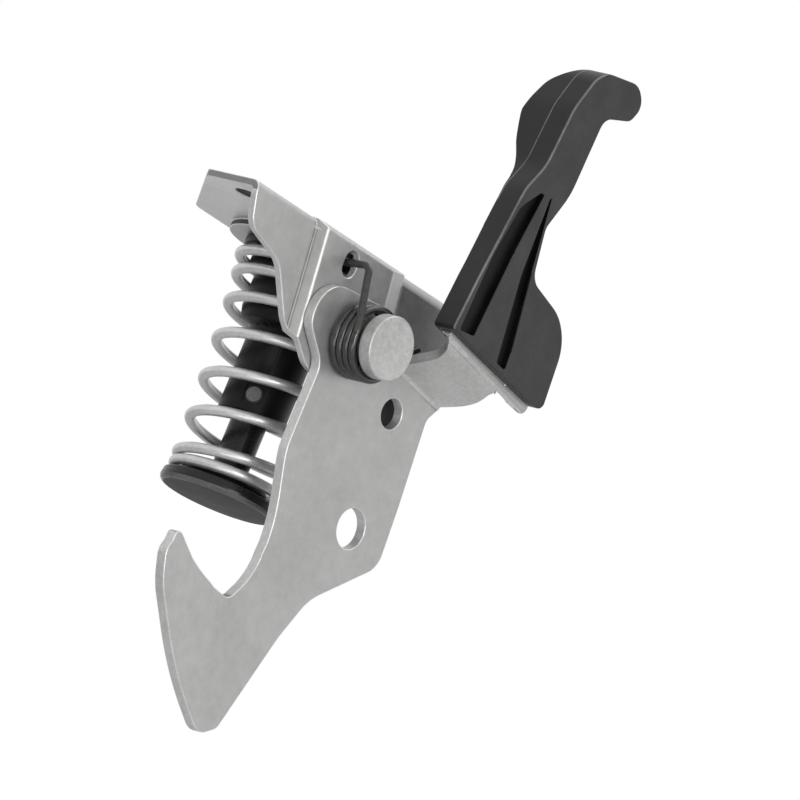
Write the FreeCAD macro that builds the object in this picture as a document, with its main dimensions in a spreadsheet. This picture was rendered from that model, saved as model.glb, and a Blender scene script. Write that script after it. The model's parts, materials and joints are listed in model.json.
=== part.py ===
import FreeCAD, Part
import Sketcher
import math
import os

# Bonnet latch: a folded mounting bracket carries a sprung plunger that lifts the
# bonnet and a safety hook with a moulded handle, held by a torsion spring.
# The origin is midway between the two mounting holes, on the face that meets the
# bonnet. +X runs towards the handle, +Z up into the bonnet, -Y is the hook's side.

os.makedirs("parts", exist_ok=True)
document = FreeCAD.newDocument("BonnetLatch")
sheet = document.addObject("Spreadsheet::Sheet", "Sizes")

sizes = {
    # bracket, folded from sheet
    "plateThick": 2.0,
    "plateReach": 56.0,
    "plateWidth": 48.0,
    "tabWidth": 18.0,
    "flareRun": 33.0,
    "holeInset": 10.0,
    "mountingHole": 9.0,
    "flangeFace": 10.0,
    "bendInside": 0.6,
    "bossRadius": 23.2,
    "bossDepth": 1.7,
    "recessRadius": 19.5,
    "shoulderDrop": 11.0,
    "shoulderRun": 17.5,
    "shoulderFall": 15.0,
    "neckRun": 27.0,
    "neckFall": 26.5,
    "earWidth": 34.0,
    "earDrop": 14.0,
    "padLeft": 31.1,
    "padRight": 6.5,
    "padHeight": 3.0,
    "padLeftRun": 1.6,
    "padRightRun": 7.5,
    "padTopRun": 1.3,
    "padLeftLean": 0.16,
    "padRightLean": 0.2,
    "legSlotHeight": 7.0,
    "legSlotWidth": 5.0,
    # pivot
    "pivotLeft": 9.1,
    "pivotDrop": 23.0,
    "rivetShank": 4.0,
    "rivetShoulder": 6.0,
    "rivetHeadRadius": 8.3,
    "rivetHeadThick": 3.9,
    "rivetTailRadius": 6.4,
    "rivetTailThick": 2.2,
    "runningGap": 0.05,
    "sideGap": 0.2,
    # lever
    "leverThick": 3.0,
    "lobeRadius": 12.3,
    "hookLength": 107.0,
    "leverTilt": 8.0,
    "bendStart": 2.7,
    "armReach": 17.2,
    "armRise": 7.3,
    "stripTop": 40.0,
    "stripLength": 160.0,
    "inspectionHole": 10.4,
    "stopHole": 7.8,
    # torsion spring
    "torsionWire": 1.0,
    "torsionRadius": 8.9,
    "torsionTurns": 3.361,
    "torsionPitch": 2.05,
    "torsionRearLeg": 20.6,
    "torsionFrontLeg": 16.6,
    "torsionBend": 2.5,
    # handle
    "handleHeight": 91.0,
    "handleThick": 7.0,
    "handleFrontWall": 2.4,
    "socketGap": 0.1,
    "recessDepth": 1.7,
    "thumbDepth": 9.3,
    # plunger, its guide and spring
    "springOffset": 14.0,
    "wireRadius": 1.4,
    "springTurns": 7.55,
    "springStart": 256.0,
    "springTopRadius": 18.6,
    "springFootRadius": 13.7,
    "seatRadius": 18.4,
    "seatThick": 2.4,
    "guideFlangeRadius": 15.3,
    "guideFlangeThick": 4.9,
    "collarRadius": 12.9,
    "collarLength": 12.5,
    "guideRadius": 8.9,
    "guideLength": 47.0,
    "windowDepth": 0.9,
    "windowAngle": -58.3,
    "stemRadius": 4.7,
    "stemGap": 0.25,
    "stemTop": 30.0,
    "dishRadius": 16.1,
    "dishTop": 66.0,
    "dishThick": 3.4,
}

for row, (alias, number) in enumerate(sizes.items(), start=1):
    sheet.set("A%d" % row, alias)
    sheet.set("B%d" % row, "%g" % number)
    sheet.setAlias("B%d" % row, alias)
document.recompute()


class Size:
    """A number together with the sheet expression that gives it."""

    def __init__(self, value, text):
        self.value = value
        self.text = text

    def __add__(self, other):
        other = asSize(other)
        return Size(self.value + other.value, "(%s + %s)" % (self.text, other.text))

    def __radd__(self, other):
        return asSize(other) + self

    def __sub__(self, other):
        other = asSize(other)
        return Size(self.value - other.value, "(%s - %s)" % (self.text, other.text))

    def __rsub__(self, other):
        return asSize(other) - self

    def __mul__(self, other):
        other = asSize(other)
        return Size(self.value * other.value, "(%s * %s)" % (self.text, other.text))

    def __rmul__(self, other):
        return asSize(other) * self

    def __truediv__(self, other):
        other = asSize(other)
        return Size(self.value / other.value, "(%s / %s)" % (self.text, other.text))

    def __neg__(self):
        return Size(-self.value, "(0 - %s)" % self.text)


def asSize(thing):
    return thing if isinstance(thing, Size) else Size(float(thing), "%r" % float(thing))


def size(alias):
    return Size(sizes[alias], "Sizes." + alias)


def root(thing):
    return Size(math.sqrt(thing.value), "sqrt(%s)" % thing.text)


def bind(target, path, thing):
    target.setExpression(path, asSize(thing).text)


def originPlane(body, role):
    for feature in body.Origin.OriginFeatures:
        if feature.Role == role:
            return feature


def newBody(name):
    body = document.addObject("PartDesign::Body", name)
    body.Label = name
    return body


def newSketch(body, name, role, across=0, up=0, lift=0, turn=0):
    """A sketch on an origin plane, shifted in that plane, lifted off it and turned."""
    sketch = body.newObject("Sketcher::SketchObject", name)
    sketch.AttachmentSupport = [(originPlane(body, role), "")]
    sketch.MapMode = "FlatFace"
    turned = asSize(turn)
    axis = FreeCAD.Vector(1, 0, 0) if role == "YZ_Plane" else FreeCAD.Vector(0, 0, 1)
    place = FreeCAD.Vector(asSize(across).value, asSize(up).value, asSize(lift).value)
    sketch.AttachmentOffset = FreeCAD.Placement(place, FreeCAD.Rotation(axis, turned.value))
    bind(sketch, "AttachmentOffset.Base.x", across)
    bind(sketch, "AttachmentOffset.Base.y", up)
    bind(sketch, "AttachmentOffset.Base.z", lift)
    if turned.value:
        bind(sketch, "AttachmentOffset.Rotation.Angle", turned)
    return sketch


def fixPoint(geometry, position, across, up):
    """Constraints that hold a sketch point, each with the size it is bound to."""
    return [
        (Sketcher.Constraint(kind, -1, 1, geometry, position, thing.value), thing)
        for kind, thing in (("DistanceX", across), ("DistanceY", up))
    ]


def constrain(sketch, rules):
    """Adds all the constraints at once, then binds those that carry a size."""
    first = len(sketch.Constraints)
    sketch.addConstraint([rule for rule, thing in rules])
    for offset, (rule, thing) in enumerate(rules):
        if thing is not None:
            bind(sketch, "Constraints[%d]" % (first + offset), thing)


def cornerArc(here, back, ahead, radius):
    """The arc that rounds a corner, drawn counterclockwise, and whether that is the outline's way."""
    half = back.getAngle(ahead) / 2
    reach = radius / math.tan(half)
    middle = here + (back + ahead).normalize() * (radius / math.sin(half))
    forward = back.cross(ahead).z < 0
    first, last = (here + back * reach - middle, here + ahead * reach - middle)
    if not forward:
        first, last = last, first
    begin, finish = math.atan2(first.y, first.x), math.atan2(last.y, last.x)
    if finish < begin:
        finish += 2 * math.pi
    ring = Part.Circle(middle, FreeCAD.Vector(0, 0, 1), radius)
    return Part.ArcOfCircle(ring, begin, finish), forward


def roundedOutline(sketch, corners):
    """A closed outline of straight sides. Each corner is (across, up) or (across, up, radius)."""
    count = len(corners)
    points = [(asSize(corner[0]), asSize(corner[1])) for corner in corners]
    radii = [asSize(corner[2]) if len(corner) > 2 else None for corner in corners]
    flat = [FreeCAD.Vector(across.value, up.value, 0) for across, up in points]
    starts, ends, arcs = list(flat), list(flat), {}
    for index, radius in enumerate(radii):
        if radius is None:
            continue
        here = flat[index]
        back = (flat[index - 1] - here).normalize()
        ahead = (flat[(index + 1) % count] - here).normalize()
        reach = radius.value / math.tan(back.getAngle(ahead) / 2)
        starts[index] = here + ahead * reach
        ends[index] = here + back * reach
        arcs[index] = cornerArc(here, back, ahead, radius.value)
    base = len(sketch.Geometry)
    lines = [Part.LineSegment(starts[index], ends[(index + 1) % count]) for index in range(count)]
    sketch.addGeometry(lines + [arc for arc, forward in arcs.values()], False)
    sketch.addGeometry([Part.Point(flat[index]) for index in arcs], True)
    rules = []
    for index in range(count):
        before, after = base + (index - 1) % count, base + index
        if index not in arcs:
            rules.append((Sketcher.Constraint("Coincident", before, 2, after, 1), None))
            rules += fixPoint(after, 1, *points[index])
            continue
        order = list(arcs).index(index)
        arc, corner = base + count + order, base + count + len(arcs) + order
        first, last = (1, 2) if arcs[index][1] else (2, 1)
        rules += [
            (Sketcher.Constraint("Tangent", before, 2, arc, first), None),
            (Sketcher.Constraint("Tangent", arc, last, after, 1), None),
            (Sketcher.Constraint("Radius", arc, radii[index].value), radii[index]),
            (Sketcher.Constraint("PointOnObject", corner, 1, before), None),
            (Sketcher.Constraint("PointOnObject", corner, 1, after), None),
        ]
        rules += fixPoint(corner, 1, *points[index])
    constrain(sketch, rules)


def circle(sketch, across, up, radius):
    across, up, radius = asSize(across), asSize(up), asSize(radius)
    centre = FreeCAD.Vector(across.value, up.value, 0)
    ring = sketch.addGeometry(Part.Circle(centre, FreeCAD.Vector(0, 0, 1), radius.value), False)
    constrain(sketch, fixPoint(ring, 3, across, up) + [(Sketcher.Constraint("Radius", ring, radius.value), radius)])


def rectangle(sketch, left, low, right, high):
    roundedOutline(sketch, [(left, low), (right, low), (right, high), (left, high)])


def solidFrom(body, kind, name, sketch, length, reverse=False, midplane=False):
    feature = body.newObject("PartDesign::" + kind, name)
    feature.Profile = sketch
    feature.Length = asSize(length).value
    bind(feature, "Length", length)
    feature.Reversed = reverse
    feature.Midplane = midplane
    sketch.Visibility = False
    document.recompute()
    return feature


def turned(body, name, sketch):
    feature = body.newObject("PartDesign::Revolution", name)
    feature.Profile = sketch
    feature.ReferenceAxis = (sketch, ["V_Axis"])
    feature.Angle = 360
    document.recompute()
    return feature


def softenEdges(body, name, kind, chosen, amount):
    """A fillet or chamfer on the edges of the body's tip that the test picks."""
    base = body.Tip
    names = ["Edge%d" % (number + 1) for number, edge in enumerate(base.Shape.Edges) if chosen(edge)]
    feature = body.newObject("PartDesign::" + kind, name)
    feature.Base = (base, names)
    where = "Radius" if kind == "Fillet" else "Size"
    setattr(feature, where, asSize(amount).value)
    bind(feature, where, amount)
    document.recompute()
    return feature


def edgeLies(edge, **wanted):
    """True where the whole edge lies at the wanted x, y or z."""
    box = edge.BoundBox
    spans = {"x": (box.XMin, box.XMax), "y": (box.YMin, box.YMax), "z": (box.ZMin, box.ZMax)}
    return all(
        abs(low - wanted[name]) < 1e-4 and abs(high - wanted[name]) < 1e-4
        for name, (low, high) in spans.items() if name in wanted
    )


plate = size("plateThick")
pivotAcross = -size("pivotLeft")
pivotUp = -size("pivotDrop")
flange = size("flangeFace")
leverBack = flange + size("padHeight") + size("sideGap")
leverFront = leverBack + size("leverThick")


def plateOutline(sketch):
    reach = size("plateReach")
    near = -flange
    tab = near + size("tabWidth")
    far = near + size("plateWidth")
    shoulder = reach - size("flareRun")
    roundedOutline(sketch, [
        (-reach, near), (reach, near), (reach, tab, 2.5), (shoulder, far, 5.0),
        (-shoulder, far, 5.0), (-reach, tab, 2.5),
    ])


def flangeOutline(sketch):
    reach = size("plateReach")
    above = 5.0
    left = pivotAcross - size("earWidth") / 2
    right = pivotAcross + size("earWidth") / 2
    bottom = pivotUp - size("earDrop")
    roundedOutline(sketch, [
        (-reach, above), (-reach, -3.0, 3.0),
        (-reach + 3.0, -size("shoulderDrop"), 6.0),
        (-reach + size("shoulderRun"), -size("shoulderFall"), 9.0),
        (-reach + size("neckRun"), -size("neckFall"), 6.0),
        (left + 8.0, bottom + 2.5, 8.0), (right - 9.0, bottom, 9.0),
        (right + 8.0, -18.0, 12.0), (reach - 3.0, -size("shoulderDrop"), 7.0),
        (reach, -3.0, 3.0), (reach, above),
    ])


def padOutline(sketch, raised, inset, bottom):
    """The pad seen from the front: its foot, or its flat top where raised is 1."""
    top = -inset[2] - raised * size("padTopRun")
    left = -size("padLeft") + inset[0] + raised * size("padLeftRun")
    right = size("padRight") - inset[1] - raised * size("padRightRun")
    fall = top - bottom
    roundedOutline(sketch, [
        (left + fall * size("padLeftLean"), bottom), (right + fall * size("padRightLean"), bottom),
        (right, top), (left, top),
    ])


def padLoft(body, kind, name, face, inset):
    """The raised pad of the flange as a loft from its foot to its flat top."""
    sections = []
    for raised in (0, 1):
        sketch = newSketch(body, "%s_%d" % (name, raised), "XZ_Plane", lift=face + raised * size("padHeight"))
        padOutline(sketch, raised, inset, -60.0)
        sections.append(sketch)
    feature = body.newObject("PartDesign::" + kind, name)
    feature.Profile = sections[0]
    feature.Sections = [(sections[1], [""])]
    document.recompute()
    return feature


def slopeInset(run, rise):
    """How far a sloped side moves in when the sheet keeps its thickness."""
    return plate * (root(run * run + rise * rise) - run) / rise


def makeBracket():
    body = newBody("mounting_bracket")
    reach = size("plateReach")
    top = newSketch(body, "plateSketch", "XY_Plane")
    plateOutline(top)
    solidFrom(body, "Pad", "plate", top, plate, reverse=True)

    wall = newSketch(body, "flangeSketch", "XZ_Plane", lift=flange)
    rectangle(wall, -reach, -50.0, reach, 0)
    solidFrom(body, "Pad", "flange", wall, plate, reverse=True)

    inside = size("bendInside")
    face = -sizes["flangeFace"]
    softenEdges(body, "bendOutside", "Fillet", lambda edge: edgeLies(edge, y=face, z=0), inside + plate)
    softenEdges(body, "bendInside", "Fillet",
                lambda edge: edgeLies(edge, y=face + sizes["plateThick"], z=-sizes["plateThick"]), inside)

    rise = size("padHeight")
    crown = newSketch(body, "padCrownSketch", "XZ_Plane", lift=flange - plate)
    padOutline(crown, 0, (0, 0, 0), -2 * plate)
    solidFrom(body, "Pad", "padCrown", crown, plate)
    padLoft(body, "AdditiveLoft", "padOutside", flange, (0, 0, 0))
    insets = [slopeInset(size("padLeftRun"), rise), slopeInset(size("padRightRun"), rise), plate]
    padLoft(body, "SubtractiveLoft", "padInside", flange - plate, insets)

    trim = newSketch(body, "flangeTrim", "XZ_Plane", lift=flange + 2 * rise)
    flangeOutline(trim)
    rectangle(trim, -reach - 10, -80.0, reach + 10, 10.0)
    solidFrom(body, "Pocket", "flangeEdge", trim, 2 * rise + plate)

    boss = newSketch(body, "bossSketch", "XY_Plane", lift=-plate)
    circle(boss, 0, size("springOffset"), size("bossRadius"))
    solidFrom(body, "Pad", "springBoss", boss, size("bossDepth"), reverse=True)
    recess = newSketch(body, "recessSketch", "XY_Plane")
    circle(recess, 0, size("springOffset"), size("recessRadius"))
    solidFrom(body, "Pocket", "springRecess", recess, size("bossDepth"))

    holes = newSketch(body, "mountingHoles", "XY_Plane")
    for side in (-1, 1):
        circle(holes, side * (reach - size("holeInset")), 0, size("mountingHole") / 2)
    solidFrom(body, "Pocket", "mountingHolesCut", holes, 2 * plate)

    pierced = newSketch(body, "flangeHoles", "XZ_Plane", lift=flange + 2 * rise)
    circle(pierced, pivotAcross, pivotUp, size("rivetShank"))
    half = size("legSlotWidth") / 2
    slotAcross = pivotAcross - size("torsionRadius") + 0.9
    slotUp = pivotUp + 16.8
    high = size("legSlotHeight") / 2
    roundedOutline(pierced, [
        (slotAcross - half, slotUp - high, 2.4), (slotAcross + half, slotUp - high, 2.4),
        (slotAcross + half, slotUp + high, 2.4), (slotAcross - half, slotUp + high, 2.4),
    ])
    solidFrom(body, "Pocket", "flangeHolesCut", pierced, 2 * rise + plate)
    return body


def placeOnPivot(body):
    """Turns a piece made about its own Z axis to stand on the pivot, pointing to -Y."""
    body.Placement = FreeCAD.Placement(
        FreeCAD.Vector(pivotAcross.value, 0, pivotUp.value),
        FreeCAD.Rotation(FreeCAD.Vector(1, 0, 0), 90))
    bind(body, "Placement.Base.x", pivotAcross)
    bind(body, "Placement.Base.z", pivotUp)


def coilSpan():
    return size("torsionTurns") * size("torsionPitch")


def makeRivet():
    body = newBody("pivot_rivet")
    padFace = flange + size("padHeight")
    padBack = padFace - plate
    headBack = leverFront + coilSpan() + 2.5 * size("torsionWire")
    headFront = headBack + size("rivetHeadThick")
    shank, shoulder = size("rivetShank"), size("rivetShoulder")
    head, tail = size("rivetHeadRadius"), size("rivetTailRadius")
    sketch = newSketch(body, "rivetProfile", "XZ_Plane")
    roundedOutline(sketch, [
        (0, padBack - size("rivetTailThick")), (tail - 1.2, padBack - size("rivetTailThick")),
        (tail, padBack - 0.9), (tail, padBack), (shank, padBack), (shank, padFace),
        (shoulder, padFace), (shoulder, headBack), (head, headBack),
        (head, headFront, 0.5), (0, headFront),
    ])
    turned(body, "rivet", sketch)
    placeOnPivot(body)
    return body


def hookOutline(sketch):
    """The hook in front view, about the pivot: lobe, shank, throat, lip, nose and heel."""
    lobe = size("lobeRadius")
    low = -size("hookLength")
    roundedOutline(sketch, [
        (-lobe - 5.0, lobe - 2.5, 8.7), (-lobe - 5.0, -2.0, 6.0), (-7.6, -9.6, 6.0),
        (-7.6, -33.0, 16.0), (-1.2, low + 57.0, 40.0), (-0.4, low + 42.5, 24.0),
        (-4.6, low + 33.4, 2.5), (-18.0, low + 37.2, 60.0), (-30.2, low + 43.8, 1.8),
        (-34.6, low + 36.4, 4.5), (-31.0, low + 28.0, 22.0), (-14.0, low + 10.2, 90.0),
        (2.2, low, 5.0), (8.0, low + 3.9, 3.5), (16.4, low + 32.0, 30.0),
        (21.6, -62.6, 16.0), (40.9, -46.0, 7.0), (39.6, -30.0, 60.0), (36.9, -7.0, 4.0),
        (39.6, -2.6), (21.4, -0.2), (8.0, lobe - 0.7, 9.0),
    ])


blade = [
    (50.4, 11.0, 2.2), (47.6, 21.0, 4.0), (25.5, 29.0, 5.0), (23.5, 38.0, 3.0), (13.5, 38.0, 3.0), (12.6, 14.5, 1.0),
]
bladeRoot = (11.9, 11.6, 0.8)


def armTrim(sketch):
    """The arm and the blade in front view, in the lever's tilted frame."""
    blank = 0.6 * size("stripLength")
    rectangle(sketch, -blank, -blank, blank, blank)
    roundedOutline(sketch, [
        (18.6, -0.6), (39.2, -0.6), (39.2, 2.2), (38.4, 7.0, 8.0), (37.6, 10.6, 0.6),
    ] + blade + [bladeRoot, (18.6, 7.4, 2.0)])


def makeLever():
    body = newBody("hook_lever")
    thick = size("leverThick")
    reach, rise = size("armReach"), size("armRise")
    shift = thick * (root(reach * reach + rise * rise) - rise) / reach
    front, back = -leverFront, -leverBack
    low = size("bendStart")
    profile = newSketch(body, "armProfile", "YZ_Plane", up=pivotUp, lift=pivotAcross, turn=size("leverTilt"))
    roundedOutline(profile, [
        (front, -3.0), (back, -3.0), (back, low + shift, 4.5), (back - reach, low + rise + shift, 1.5),
        (back - reach, size("stripTop")), (front - reach, size("stripTop")),
        (front - reach, low + rise, 4.5), (front, low, 1.5),
    ])
    solidFrom(body, "Pad", "armStrip", profile, size("stripLength"), midplane=True)
    trim = newSketch(body, "armOutline", "XZ_Plane", across=pivotAcross, up=pivotUp,
                     lift=leverFront + reach + 10, turn=-size("leverTilt"))
    armTrim(trim)
    solidFrom(body, "Pocket", "armEdge", trim, reach + thick + 20)

    hook = newSketch(body, "hookSketch", "XZ_Plane", across=pivotAcross, up=pivotUp, lift=leverBack)
    hookOutline(hook)
    solidFrom(body, "Pad", "hook", hook, thick)

    holes = newSketch(body, "leverHoles", "XZ_Plane", across=pivotAcross, up=pivotUp, lift=leverBack - 1)
    circle(holes, 0, 0, size("rivetShoulder") + size("runningGap"))
    circle(holes, 26.0, -41.2, size("inspectionHole") / 2)
    circle(holes, 23.8, -10.6, size("stopHole") / 2)
    solidFrom(body, "Pocket", "leverHolesCut", holes, thick + 2, reverse=True)
    return body


def handleBack():
    return leverBack + size("armReach") - (size("handleThick") - size("handleFrontWall") - size("leverThick"))


handleTop = size("handleHeight")
ridge = [
    (11.2, 11.4), (12.8, 26.0), (16.4, 52.0), (20.4, handleTop - 31.0), (22.0, handleTop - 14.5),
    (26.4, handleTop - 2.4),
]
tip = (41.6, handleTop)


def handleOutline(sketch):
    roundedOutline(sketch, [
        (ridge[0][0], ridge[0][1], 1.0), (ridge[1][0], ridge[1][1]), (ridge[2][0], ridge[2][1], 14.0),
        (ridge[3][0], ridge[3][1], 14.0), (ridge[4][0], ridge[4][1], 16.0), (ridge[5][0], ridge[5][1], 8.0),
        (tip[0], tip[1], 5.0), (45.8, handleTop - 4.4, 4.0), (43.5, handleTop - 9.3, 3.0),
        (34.2, handleTop - 12.4, 4.0),
        (33.2, 57.0, 20.0), (29.3, 46.4, 4.0), (32.2, 33.2, 5.0), (51.8, 28.0, 13.0),
        (53.9, 6.2, 2.0), (49.0, 6.1),
    ])


def thumbPad(body):
    """The paddle along the handle's upper edge, cut to its rounded outline seen from the side."""
    back = handleBack()
    depth = size("thumbDepth")
    start, end = 40.0, 33.0
    startAcross = ridge[1][0] + (ridge[2][0] - ridge[1][0]) * (start - ridge[1][1]) / (ridge[2][1] - ridge[1][1])
    endUp = ridge[5][1] + (tip[1] - ridge[5][1]) * (end - ridge[5][0]) / (tip[0] - ridge[5][0])
    band = newSketch(body, "thumbSketch", "XZ_Plane", across=pivotAcross, up=pivotUp, lift=back - depth)
    roundedOutline(band, [
        (startAcross, start), (ridge[2][0], ridge[2][1], 14.0), (ridge[3][0], ridge[3][1], 14.0),
        (ridge[4][0], ridge[4][1], 16.0), (ridge[5][0], ridge[5][1], 8.0), (end, endUp),
        (32.6, handleTop - 4.8, 2.0), (29.4, handleTop - 5.6, 5.0), (26.2, handleTop - 15.2, 12.0),
        (24.6, handleTop - 30.6, 10.0), (20.2, 52.4, 10.0), (17.8, start),
    ])
    solidFrom(body, "Pad", "thumbBand", band, depth + 1.0)
    trim = newSketch(body, "thumbTrim", "YZ_Plane", up=pivotUp)
    beyond = -back + depth + 5.0
    roundedOutline(trim, [
        (-back + 0.5, start - 2.0), (-back + 0.9, start + 7.0, 30.0), (-back + 4.5, handleTop - 30.0, 20.0),
        (-back + depth + 0.2, handleTop - 19.0, 6.0), (-back + depth - 2.2, handleTop - 8.4, 6.0),
        (-back, handleTop - 1.8), (-back, handleTop + 5.0), (beyond, handleTop + 5.0), (beyond, start - 2.0),
    ])
    solidFrom(body, "Pocket", "thumbOutline", trim, size("stripLength"), midplane=True)


def makeHandle():
    body = newBody("release_handle")
    thick = size("handleThick")
    front = handleBack() + thick
    base = newSketch(body, "handleSketch", "XZ_Plane", across=pivotAcross, up=pivotUp, lift=handleBack())
    handleOutline(base)
    solidFrom(body, "Pad", "grip", base, thick)
    thumbPad(body)

    recess = newSketch(body, "recesses", "XZ_Plane", across=pivotAcross, up=pivotUp, lift=front)
    roundedOutline(recess, [
        (13.8, 12.2, 0.6), (19.5, 12.7, 0.6), (21.6, 36.6, 30.0), (24.0, 53.3, 0.3), (22.6, 53.2, 0.3),
        (17.6, 47.5, 6.0), (14.8, 33.5, 30.0),
    ])
    roundedOutline(recess, [
        (27.2, 53.4, 0.2), (26.6, 53.4, 0.2), (27.4, 32.7, 8.0), (31.2, 10.3, 0.6), (35.1, 9.8, 0.6),
        (34.7, 14.3, 6.0), (30.6, 34.4, 30.0),
    ])
    solidFrom(body, "Pocket", "recessCut", recess, size("recessDepth"))

    gap = size("socketGap")
    room = leverFront + size("armReach") + gap
    socket = newSketch(body, "bladeSocket", "XZ_Plane", across=pivotAcross, up=pivotUp, lift=room,
                       turn=-size("leverTilt"))
    roundedOutline(socket, [
        (blade[0][0] + gap, blade[0][1]), (blade[1][0] + gap, blade[1][1] + gap, blade[1][2]),
        (blade[2][0] + gap, blade[2][1] + gap, blade[2][2]), (blade[3][0] + gap, blade[3][1] + gap, blade[3][2]),
        (blade[4][0] - gap, blade[4][1] + gap, blade[4][2]), (blade[5][0] - gap, blade[5][1] + gap),
        (bladeRoot[0] - gap, bladeRoot[1]), (bladeRoot[0] - gap, blade[0][1]),
    ])
    solidFrom(body, "Pocket", "bladeSocketCut", socket, size("leverThick") + 2 * gap)
    return body


def makeSeat():
    body = newBody("spring_seat")
    top = plate + size("bossDepth")
    sketch = newSketch(body, "seatProfile", "XZ_Plane")
    bore = size("guideRadius") + size("stemGap")
    radius, thick = size("seatRadius"), size("seatThick")
    roundedOutline(sketch, [(bore, -top), (radius, -top), (radius, -top - thick), (bore, -top - thick)])
    turned(body, "seat", sketch)
    softenEdges(body, "seatRim", "Fillet", lambda edge: abs(edge.BoundBox.XMax - radius.value) < 1e-4
                and abs(edge.BoundBox.ZLength) < 1e-4, 0.8)
    onPlungerAxis(body)
    return body


def onPlungerAxis(body, turn=0):
    spin = FreeCAD.Rotation(FreeCAD.Vector(0, 0, 1), turn)
    body.Placement = FreeCAD.Placement(FreeCAD.Vector(0, sizes["springOffset"], 0), spin)
    bind(body, "Placement.Base.y", size("springOffset"))


def makeGuide():
    body = newBody("plunger_guide")
    top = plate + size("bossDepth")
    flangeTop = top + size("seatThick")
    flangeFoot = flangeTop + size("guideFlangeThick")
    collarFoot = flangeFoot + size("collarLength")
    foot = size("guideLength")
    bore = size("stemRadius") + size("stemGap")
    outer, collar = size("guideRadius"), size("collarRadius")
    sketch = newSketch(body, "guideProfile", "XZ_Plane")
    roundedOutline(sketch, [
        (0, -top), (outer, -top), (outer, -flangeTop), (size("guideFlangeRadius"), -flangeTop),
        (size("guideFlangeRadius"), -flangeFoot, 0.8), (collar, -flangeFoot - 1.0), (collar, -collarFoot + 3),
        (collar - 0.8, -collarFoot, 0.8), (outer, -collarFoot - 1.2), (outer, -foot + 0.4),
        (outer - 0.4, -foot), (bore, -foot),
        (bore, -top - 3.0), (0, -top - 3.0),
    ])
    turned(body, "guide", sketch)

    depth = size("windowDepth")
    window = newSketch(body, "windowSketch", "XZ_Plane", lift=outer)
    roundedOutline(window, [(-2.5, -44.4, 1.0), (2.5, -44.4, 1.0), (2.5, -36.4, 1.0), (-2.5, -36.4, 1.0)])
    solidFrom(body, "Pocket", "window", window, depth)
    nub = newSketch(body, "nubSketch", "XZ_Plane", lift=outer - depth - 0.5)
    circle(nub, 0, -42.1, 2.0)
    solidFrom(body, "Pad", "nub", nub, depth + 0.4)
    onPlungerAxis(body, sizes["windowAngle"])
    return body


def makePlunger():
    body = newBody("plunger")
    stem, dish = size("stemRadius"), size("dishRadius")
    top, foot = size("dishTop"), size("dishTop") + size("dishThick")
    sketch = newSketch(body, "plungerProfile", "XZ_Plane")
    hub = size("springFootRadius") - size("wireRadius") - 0.6
    roundedOutline(sketch, [
        (0, -size("stemTop")), (stem - 0.8, -size("stemTop")), (stem, -size("stemTop") - 0.8),
        (stem, -top + 3.0, 1.0), (hub - 0.8, -top + 3.0, 0.8), (hub, -top), (dish - 0.6, -top, 0.5),
        (dish, -foot, 1.6), (0, -foot - 0.6),
    ])
    turned(body, "plungerTurned", sketch)
    onPlungerAxis(body)
    return body


def wirePath(points):
    curve = Part.BSplineCurve()
    curve.interpolate(points)
    return curve.toShape()


def sweepWire(path, start, heading, radius):
    section = Part.Wire([Part.Circle(start, heading, radius).toShape()])
    return Part.Wire([path]).makePipeShell([section], True, True)


def coilFeature(name, shape):
    feature = document.addObject("Part::Feature", name)
    feature.Label = name
    feature.Shape = shape
    return feature


def ramp(part):
    part = min(1.0, max(0.0, part))
    return part * part * (3 - 2 * part)


def makeSpring():
    """The lift spring tapers to the dish. It opens slowly below the seat and its last turn lies closed."""
    wire = sizes["wireRadius"]
    top = -(sizes["plateThick"] + sizes["bossDepth"] + sizes["seatThick"]) - wire
    foot = -sizes["dishTop"] + wire
    turns, steps = sizes["springTurns"], 12
    closed, opened = 2.05 * wire, 7.6
    count = round(turns * steps)
    heights = [0.0]
    for index in range(count):
        here = (index + 0.5) * turns / count
        pitch = closed + opened * ramp((here + 0.5) / 4.0) * ramp((turns - 0.95 - here) / 0.5)
        heights.append(heights[-1] + pitch * turns / count)
    points = []
    for index, height in enumerate(heights):
        share = index / count
        angle = math.radians(sizes["springStart"] - 360 * turns * share)
        taper = 1 - (1 - share) ** 1.6
        radius = sizes["springTopRadius"] + (sizes["springFootRadius"] - sizes["springTopRadius"]) * taper
        points.append(FreeCAD.Vector(radius * math.cos(angle), sizes["springOffset"] + radius * math.sin(angle),
                                     top + (foot - top) * height / heights[-1]))
    path = wirePath(points)
    heading = path.tangentAt(path.FirstParameter)
    return coilFeature("lift_spring", sweepWire(path, points[0], heading, wire))


def bentLine(points, radius):
    """Straight wire through the points, each inner corner turned on an arc."""
    edges, here = [], points[0]
    for index in range(1, len(points) - 1):
        corner = points[index]
        back = (points[index - 1] - corner).normalize()
        ahead = (points[index + 1] - corner).normalize()
        reach = radius / math.tan(back.getAngle(ahead) / 2)
        enter, leave = corner + back * reach, corner + ahead * reach
        middle = corner + (back + ahead).normalize() * (radius / math.sin(back.getAngle(ahead) / 2))
        crest = middle + (corner - middle).normalize() * radius
        edges += [Part.LineSegment(here, enter).toShape(), Part.Arc(enter, crest, leave).toShape()]
        here = leave
    return edges + [Part.LineSegment(here, points[-1]).toShape()]


def springLeg(start, heading, points):
    """A leg that leaves the coil's end along its heading and then follows the points."""
    knee = start + heading * 0.8
    path = Part.Wire(bentLine([start, knee] + [knee + step for step in points], sizes["torsionBend"]))
    section = Part.Wire([Part.Circle(start, heading, sizes["torsionWire"]).toShape()])
    return path.makePipeShell([section], True, False)


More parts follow.
